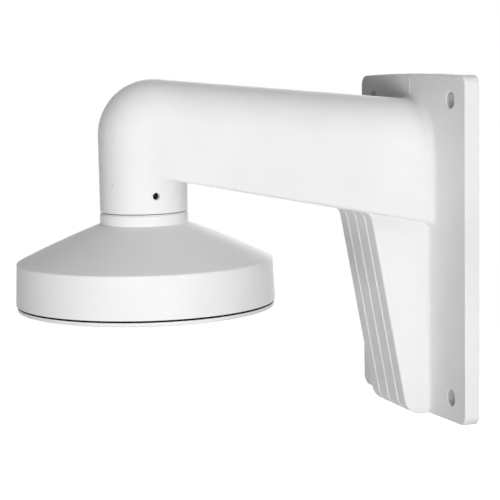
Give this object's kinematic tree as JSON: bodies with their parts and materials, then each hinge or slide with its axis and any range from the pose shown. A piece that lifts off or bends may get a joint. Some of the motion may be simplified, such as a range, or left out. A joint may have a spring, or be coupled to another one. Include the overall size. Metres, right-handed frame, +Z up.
{
  "type": "pendant camera wall bracket",
  "caption": "Cast wall plate and arched arm with a turned-down neck, a ribbed gusset under the arm, and a bell-shaped cap under the neck that takes a pendant camera.",
  "frame": {"origin": "middle of the four wall holes, on the wall plane at the back of the plate", "axes": "+Y is the outward normal of the plate's back, into the wall; the arm reaches along -Y; +Z is up and parallel to the cap's axis"},
  "size_m": [0.14, 0.238, 0.193],
  "materials": {
    "bracket_paint": "satin white powder coat on die-cast aluminium",
    "cap_paint": "satin white powder coat on die-cast aluminium",
    "plate_paint": "satin white powder coat on aluminium",
    "seal_rubber": "matte black",
    "screw_steel": "zinc plated",
    "black_steel": "black oxide"
  },
  "bodies": {
    "root": {"bracket_casting": "bracket_paint", "pendant_cap": "cap_paint", "closing_plate": "plate_paint", "neck_seal_ring": "seal_rubber", "cap_gasket": "seal_rubber", "closing_screws": "screw_steel", "lock_screw": "black_steel"}
  },
  "joints": []
}
